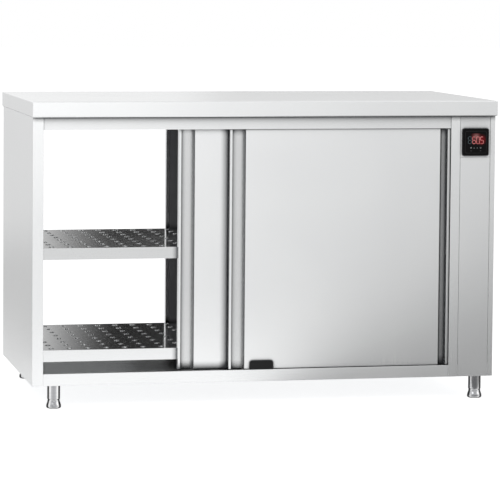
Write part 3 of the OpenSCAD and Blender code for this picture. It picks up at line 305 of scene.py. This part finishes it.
FINISHES = {
    steel_along: ["worktop"],
    rail_steel_painted_shade: ["top_rails"],
    head_steel_painted_shade: ["control_panel"],
    tray_steel_painted_shade: ["base_tray"],
    shelf_sheet: ["mid_shelf", "lower_shelf"],
    steel_upright: ["left_side_skin", "right_side_skin", "partition_post", "service_panel",
                    "rear_column_cover"],
    door_steel_painted_shade: [d + "_door_skin" for d in DOORS],
    lining_upright: ["left_lining", "partition_lining", "shelf_uprights", "shelf_clips"],
    door_back_sheet_painted_shade: [d + "_door_back" for d in DOORS],
    lining_along: ["ceiling_panel"],
    galvanised_sheet(): ["worktop_stiffeners", "bottom_panel", "air_duct"],
    zinc_plated_steel(): ["fasteners"] + [d + "_hangers" for d in DOORS],
    aluminium: ["door_tracks"],
    # Natural nylon: off-white and waxy
    moulded("roller_nylon", ("#e4e2d6", "#efede2"), (0.35, 0.5), 0.4):
        [f"{d}_roller_{s}" for d in DOORS for s in "ab"],
    polished_leg_steel(): ["leg_tubes"] + [f + "_foot" for f in FEET],
    # Black nylon: a low sheen over a fine grain
    moulded("guide_nylon_black", ("#040404", "#0b0b0c"), (0.38, 0.55), 0.5, ior=1.35):
        ["door_guides", "cable_gland"],
    # Natural rubber: matt charcoal
    moulded("bumper_rubber", ("#151515", "#202020"), (0.7, 0.85), 0.6, 0.15): ["door_bumpers"],
    mineral_wool(): ["insulation"],
    # Black ABS: satin, with the fine grain of an instrument's case
    moulded("controller_plastic", ("#0d0d0e", "#19191a"), (0.4, 0.55), 0.35):
        ["controller_housing", "fan_frame", "fan_impeller", "safety_thermostat"],
    black_glass("controller_glass_black"): ["controller_glass"],
    lit_red(): ["display_digits"],
    # Cream polyamide of the terminals
    moulded("terminal_plastic", ("#d8d4c4", "#e6e3d6"), (0.4, 0.55), 0.5): ["terminal_block"],
    heater_sheath(): ["heating_element"],
    probe_steel: ["temperature_probe"],
}


def dress(mesh, finish):
    """Gives a mesh one finish in place of what it has."""
    mesh.materials.clear()
    mesh.materials.append(finish)


for finish, names in FINISHES.items():
    for name in names:
        dress(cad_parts[name].data, finish)


def relief(name, sides, width, height, at, rim=0.0, corner=0.0, turn=0.0, depth=0.1):
    """A thin raised mark on the controller's glass: filled, or only a rim. Sizes and place in millimetres."""
    bpy.ops.object.select_all(action="DESELECT")
    if sides == 4:
        bpy.ops.mesh.primitive_plane_add(size=1)
    else:
        bpy.ops.mesh.primitive_circle_add(vertices=sides, radius=0.5, fill_type="NGON")
    made = bpy.context.object
    made.name = made.data.name = name
    bpy.ops.object.mode_set(mode="EDIT")
    bpy.ops.mesh.select_all(action="SELECT")
    bpy.ops.transform.resize(value=(width * MM, height * MM, 1), center_override=(0, 0, 0))
    if corner:
        bpy.ops.mesh.bevel(offset=corner * MM, segments=4, affect="VERTICES")
    if rim:
        bpy.ops.mesh.select_all(action="SELECT")
        bpy.ops.mesh.inset(thickness=rim * MM)
        bpy.ops.mesh.delete(type="FACE")
        bpy.ops.mesh.select_all(action="SELECT")
    bpy.ops.mesh.extrude_region_move(TRANSFORM_OT_translate={"value": (0, 0, depth * MM)})
    bpy.ops.mesh.select_all(action="SELECT")
    bpy.ops.mesh.normals_make_consistent(inside=False)
    bpy.ops.object.mode_set(mode="OBJECT")
    made.rotation_euler = (math.pi / 2, turn, 0)
    made.location = (CONTROLLER[0] + at[0] * MM, CONTROLLER[1], CONTROLLER[2] + at[1] * MM)
    bpy.ops.object.transform_apply(location=True, rotation=True, scale=True)
    return made


def joined(name, pieces):
    """Makes one piece of several."""
    bpy.ops.object.select_all(action="DESELECT")
    for piece in pieces:
        piece.select_set(True)
    bpy.context.view_layer.objects.active = pieces[0]
    bpy.ops.object.join()
    made = bpy.context.object
    made.name = made.data.name = name
    return made


def finished(piece, finish):
    """Gives a piece its finish, and lets it ride with the cabinet."""
    dress(piece.data, finish)
    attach(piece, "cabinet")


def bar(aside, up, turn):
    """One pointed bar of the unlit digit, aside and up from its middle."""
    return relief("bar", 6, *BAR, (DIGIT[0] + aside, DIGIT[1] + up), turn=turn, depth=0.25)


def controller_front():
    """Window, frame line, unlit digit, touch marks and small signs on the controller's glass."""
    # Smoked window: the same black gloss, with the red of the lit bars in it
    window = relief("display_window", 4, *WINDOW, (0, WINDOW_UP), corner=3)
    finished(window, black_glass("display_window_smoked", red_spread))
    # Line along the glass's edge: barely lighter than the black
    line = relief("glass_frame_line", 4, *FRAME_LINE, (0, 0), rim=0.6, corner=5)
    finished(line, printed_mark("frame_ink", ("#141414", "#1e1e1e")))
    # Unlit bars: dull blue-grey through the smoked window
    lying = [bar(0, row * BAR_STEP, LYING) for row in (1, 0, -1)]
    upright = [bar(side * BAR_ASIDE, half * BAR_STEP / 2, UPRIGHT) for half in (1, -1) for side in (-1, 1)]
    finished(joined("unlit_digit", lying + upright), printed_mark("unlit_bars", ("#3c4a50", "#56666c")))
    # Grey ink of the touch marks: a dot, two triangles and a square outline
    marks = [relief("mark", *mark) for mark in TOUCH_MARKS]
    finished(joined("touch_marks", marks), printed_mark("touch_mark_ink", ("#77787a", "#97989a")))
    # Thinner ink of the small signs: two dashes under the outer marks and a dot at the window's upper left
    signs = [relief("sign", *sign) for sign in SMALL_SIGNS]
    finished(joined("small_signs", signs), printed_mark("small_sign_ink", ("#38383a", "#4a4a4c")))


def spread(length, pitch):
    """Places of the air holes along one side of a shelf, counted from its middle."""
    # A hair more, so that a length of whole pitches isn't rounded down
    count = math.floor((length / MM - 2 * HOLE_MARGIN) / pitch + 1e-6)
    return [(i - count / 2) * pitch * MM for i in range(count + 1)]


def hole_collar():
    """Pressed collar of one air hole: rises 1.2 mm over a slope, with a flat crown."""
    bpy.ops.object.select_all(action="DESELECT")
    bpy.ops.mesh.primitive_circle_add(vertices=16, radius=COLLAR_FOOT * MM, fill_type="NOTHING")
    made = bpy.context.object
    made.name = "hole_collar"
    bpy.ops.object.mode_set(mode="EDIT")
    bpy.ops.mesh.select_all(action="SELECT")
    radius = COLLAR_FOOT
    for wide, rise in COLLAR_STEPS:
        bpy.ops.mesh.extrude_edges_move(TRANSFORM_OT_translate={"value": (0, 0, rise * MM)})
        bpy.ops.transform.resize(value=(wide / radius, wide / radius, 1), center_override=(0, 0, 0))
        radius = wide
    bpy.ops.mesh.select_all(action="DESELECT")
    bpy.ops.mesh.select_mode(type="EDGE")
    bpy.ops.mesh.select_non_manifold()
    bpy.ops.mesh.bridge_edge_loops()
    bpy.ops.mesh.select_all(action="SELECT")
    bpy.ops.mesh.normals_make_consistent(inside=False)
    bpy.ops.object.mode_set(mode="OBJECT")
    return made


def hole_collars(shelf):
    """Sets a collar round every air hole of a shelf."""
    low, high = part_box(shelf)
    first = hole_collar()
    sites = [((low[0] + high[0]) / 2 + x, (low[1] + high[1]) / 2 + y, high[2])
             for x in spread(high[0] - low[0], HOLE_PITCH[0])
             for y in spread(high[1] - low[1], HOLE_PITCH[1])]
    collars = [first]
    for site in sites[1:]:
        copy = first.copy()
        copy.data = first.data.copy()
        bpy.context.collection.objects.link(copy)
        copy.location = site
        collars.append(copy)
    first.location = sites[0]
    made = joined(shelf + "_hole_collars", collars)
    bpy.ops.object.transform_apply(location=True, rotation=True, scale=True)
    dress(made.data, shelf_sheet)
    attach(made, shelf)


def studio():
    """White floor and backdrop for the eye, a greyer floor in the steel, and a soft sky on the pieces."""
    bpy.ops.mesh.primitive_plane_add(size=80, location=(0, 0, 0))
    floor = bpy.context.object
    floor.name = "floor"
    paper, tree, out = new_finish("studio_floor")
    ray = add(tree, "LightPath")
    seen = add(tree, "Math", {0: ray.outputs["Is Camera Ray"], 1: ray.outputs["Is Transmission Ray"]},
               operation="MAXIMUM")
    white = add(tree, "Math", {0: seen.outputs[0], 1: FLOOR_SEEN}, operation="MULTIPLY")
    glow = add(tree, "Math", {0: ray.outputs["Is Glossy Ray"], 1: FLOOR_MIRRORED, 2: white.outputs[0]},
               operation="MULTIPLY_ADD")
    matt = add(tree, "BsdfDiffuse", {"Color": linear("#d8d8d8")})
    light = add(tree, "Emission", {"Color": (1, 1, 1, 1), "Strength": glow.outputs[0]})
    both = add(tree, "AddShader", {0: matt.outputs[0], 1: light.outputs[0]})
    tree.links.new(both.outputs[0], out.inputs["Surface"])
    floor.data.materials.append(paper)

    world = bpy.data.worlds.new("studio")
    bpy.context.scene.world = world
    world.use_nodes = True
    tree = world.node_tree
    tree.nodes.clear()
    ray = add(tree, "LightPath")
    seen = add(tree, "Math", {0: ray.outputs["Is Camera Ray"], 1: ray.outputs["Is Glossy Ray"]},
               operation="MAXIMUM")
    seen = add(tree, "Math", {0: seen.outputs[0], 1: ray.outputs["Is Transmission Ray"]}, operation="MAXIMUM")
    strength = add(tree, "MapRange", {"Value": seen.outputs[0], "To Min": SKY_LIGHT, "To Max": 1.0})
    sky = add(tree, "Background", {"Color": (1, 1, 1, 1), "Strength": strength.outputs["Result"]})
    out = tree.nodes.new("ShaderNodeOutputWorld")
    tree.links.new(sky.outputs[0], out.inputs["Surface"])


def card(name, level, soft, corners):
    """A grey or bright card outside the picture that the steel mirrors, as photographers set for metal.

    Soft is how much of the card fades out at its left, right, first and last edge. The corners go left,
    right, left, right, and the first two are its first edge.
    """
    bpy.ops.object.select_all(action="DESELECT")
    bpy.ops.mesh.primitive_grid_add(x_subdivisions=8, y_subdivisions=8, size=1)
    made = bpy.context.object
    made.name = name
    a, b, c, d = (Vector(corner) for corner in corners)
    for vert in made.data.vertices:
        u, v = vert.co.x + 0.5, vert.co.y + 0.5
        vert.co = a.lerp(b, u).lerp(c.lerp(d, u), v)
    paper, tree, out = new_finish(name + "_paper")
    uv = add(tree, "SeparateXYZ", {"Vector": add(tree, "TexCoord").outputs["UV"]})
    solid = 1.0
    for width, side, edge, way in zip(soft, "XXYY", (0, 1, 0, 1), (1, -1, 1, -1)):
        if width > 0:
            fade = add(tree, "MapRange", {"Value": uv.outputs[side], "From Min": edge,
                                          "From Max": edge + way * width},
                       interpolation_type="SMOOTHSTEP").outputs["Result"]
            solid = add(tree, "Math", {0: solid, 1: fade}, operation="MULTIPLY").outputs[0]
    grey = add(tree, "Emission", {"Color": (1, 1, 1, 1), "Strength": level}).outputs[0]
    mix = add(tree, "MixShader", {0: solid, 1: add(tree, "BsdfTransparent").outputs[0], 2: grey})
    tree.links.new(mix.outputs[0], out.inputs["Surface"])
    made.data.materials.append(paper)
    made.visible_camera = made.visible_diffuse = made.visible_shadow = made.visible_transmission = False


def lamp(name, place, target, size, power):
    """A soft square lamp aimed at a point."""
    data = bpy.data.lights.new(name, "AREA")
    data.shape, data.size, data.energy = "SQUARE", size, power
    made = bpy.data.objects.new(name, data)
    bpy.context.scene.collection.objects.link(made)
    made.location = place
    made.rotation_euler = (Vector(target) - Vector(place)).to_track_quat("-Z", "Y").to_euler()


def camera():
    """Left of the cabinet and a little above its worktop, with the lens slid as in the photograph."""
    data = bpy.data.cameras.new("camera")
    data.lens = LENS
    data.shift_x, data.shift_y = LENS_SLIDE
    made = bpy.data.objects.new("camera", data)
    bpy.context.scene.collection.objects.link(made)
    turn = Matrix.Rotation(math.radians(CAMERA_TURN), 4, "Z")
    tilt = Matrix.Rotation(math.radians(CAMERA_TILT), 4, "X")
    roll = Matrix.Rotation(math.radians(CAMERA_ROLL), 4, "Z")
    made.matrix_world = Matrix.Translation(CAMERA_PLACE) @ (turn @ tilt) @ roll
    bpy.context.scene.camera = made


controller_front()
hole_collars("mid_shelf")
hole_collars("lower_shelf")
studio()
# Places in metres, powers in watts
lamp("key", (-2.2, -3.0, 3.2), (0, 0, 0.5), 2.4, 34)
lamp("fill", (3.0, -2.6, 2.6), (0, 0, 0.5), 2.4, 10)
lamp("back", (-1.4, 2.8, 2.9), (-0.3, 0, 0.6), 2.0, 5)
# Grey floor card in front on the right: the steel darkens towards its lower right corner
card("right_floor_card", 0.32, (0.12, 0, 0, 0.5),
     ((-0.16, -0.36, 0.02), (1.54, -0.36, 0.02), (2.2, -8.0, 0.02), (30.0, -8.0, 0.02)))
# White floor card in front on the left: the base rail and the feet of the doors
card("left_front_floor_card", 1.2, (0, 0.3, 0, 0.5),
     ((-3.0, -0.36, 0.01), (1.0, -0.36, 0.01), (-3.0, -2.0, 0.01), (1.5, -2.0, 0.01)))
# White wall card far in front on the left: brightens the worktop's edge and the left post
card("left_front_card", 1.6, (0, 0.35, 0.1, 0.3),
     ((-3.0, -8.0, 0.0), (2.2, -8.0, 0.0), (-3.0, -8.0, 3.0), (2.2, -8.0, 3.0)))
# Grey floor card behind on the left: the foot of the left side panel
card("left_floor_card", 0.6, (0, 0.1, 0.05, 0.5),
     ((-4.0, 0.4, 0.01), (-0.75, 0.4, 0.01), (-4.0, 6.0, 0.01), (-0.75, 6.0, 0.01)))
# Black card behind, hardly higher than the worktop: the shelves' tops run from grey to nearly black
card("behind_card", 0.02, (0.17, 0, 0.03, 0.03),
     ((-0.5, 3.0, 0.12), (3.2, 3.0, 0.12), (-0.5, 3.0, 1.0), (3.2, 3.0, 1.0)))
# Light grey wall card far behind on the right: the worktop's top is a little darker there
card("right_back_card", 0.75, (0.08, 0, 0, 0.2),
     ((0.9, 6.0, 0.95), (6.0, 6.0, 0.95), (0.9, 6.0, 3.0), (6.0, 6.0, 3.0)))
camera()
bpy.context.scene.view_settings.view_transform = "Standard"
